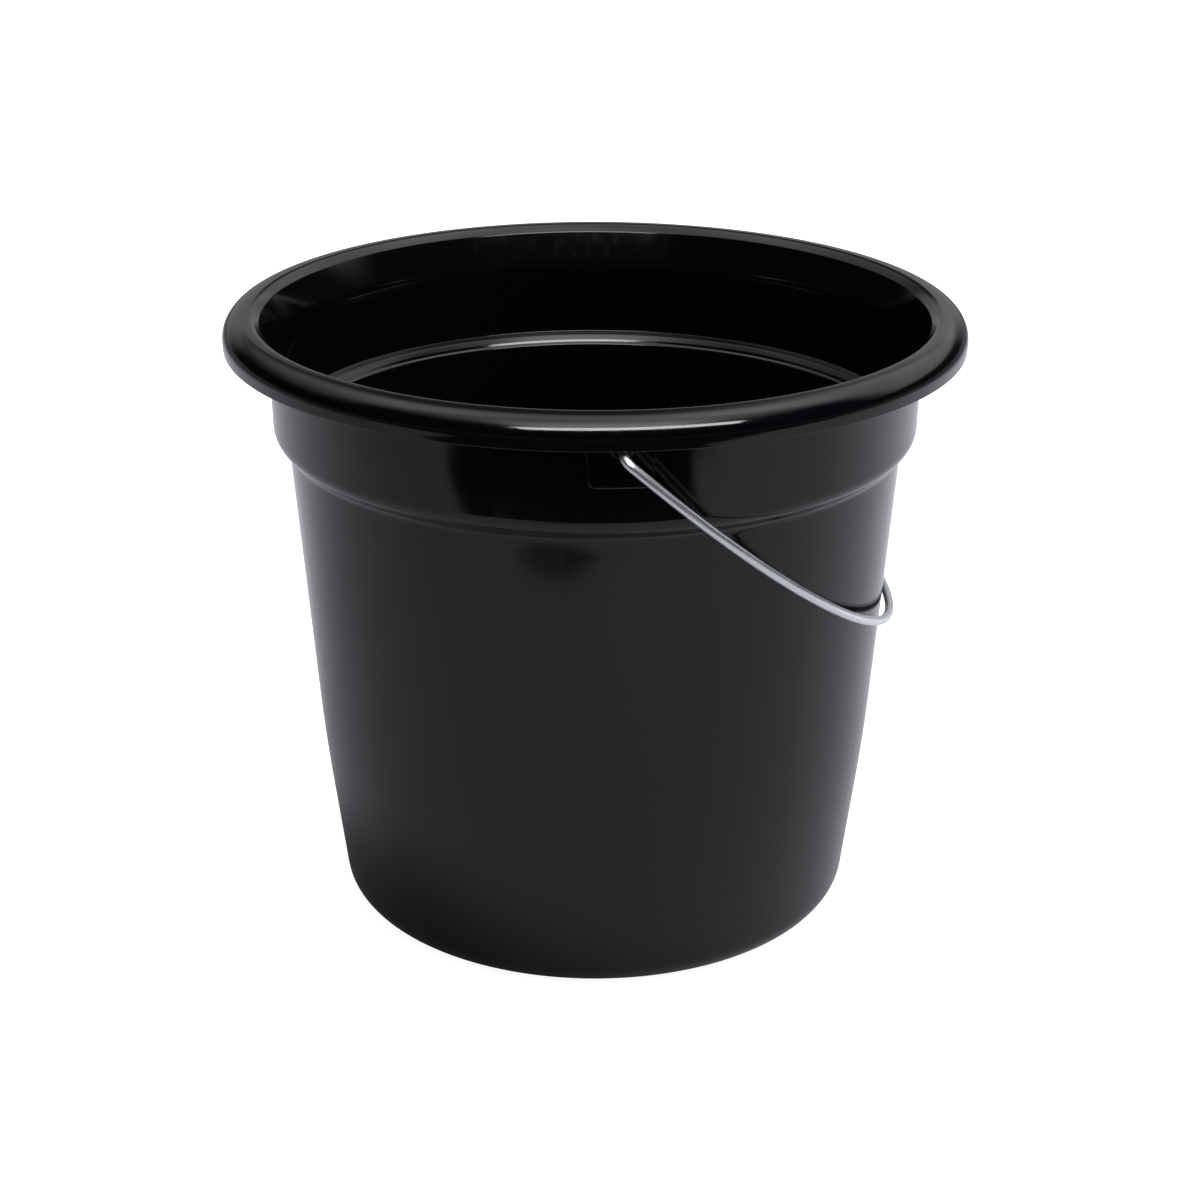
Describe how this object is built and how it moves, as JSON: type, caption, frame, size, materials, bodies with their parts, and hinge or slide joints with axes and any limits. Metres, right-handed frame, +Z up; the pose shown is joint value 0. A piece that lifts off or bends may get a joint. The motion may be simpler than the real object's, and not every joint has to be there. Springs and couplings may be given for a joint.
{
  "type": "florist bucket",
  "caption": "Round black plastic flower bucket with a stepped collar, a rolled rim and a swinging wire bail, for holding cut stems in water.",
  "frame": {"origin": "centre of the base, on the ground plane that the foot ring stands on", "axes": "+Z is up along the bucket's axis; Y runs through both ears, so the bail turns about it; at rest the bail hangs against the +X side of the wall"},
  "size_m": [0.2994, 0.3088, 0.2538],
  "materials": {
    "shell_plastic": "semi-gloss black polypropylene with a fine moulded grain",
    "bail_steel": "bright galvanised drawn wire"
  },
  "bodies": {
    "bucket": {"bucket_shell": "shell_plastic"},
    "bail": {"bail_wire": "bail_steel"}
  },
  "joints": [
    {"name": "bail_swing", "type": "hinge", "parent": "bucket", "child": "bail", "pos_m": [0, 0, 0.239], "axis": [0, -1, 0], "range_deg": [0, 263]}
  ]
}
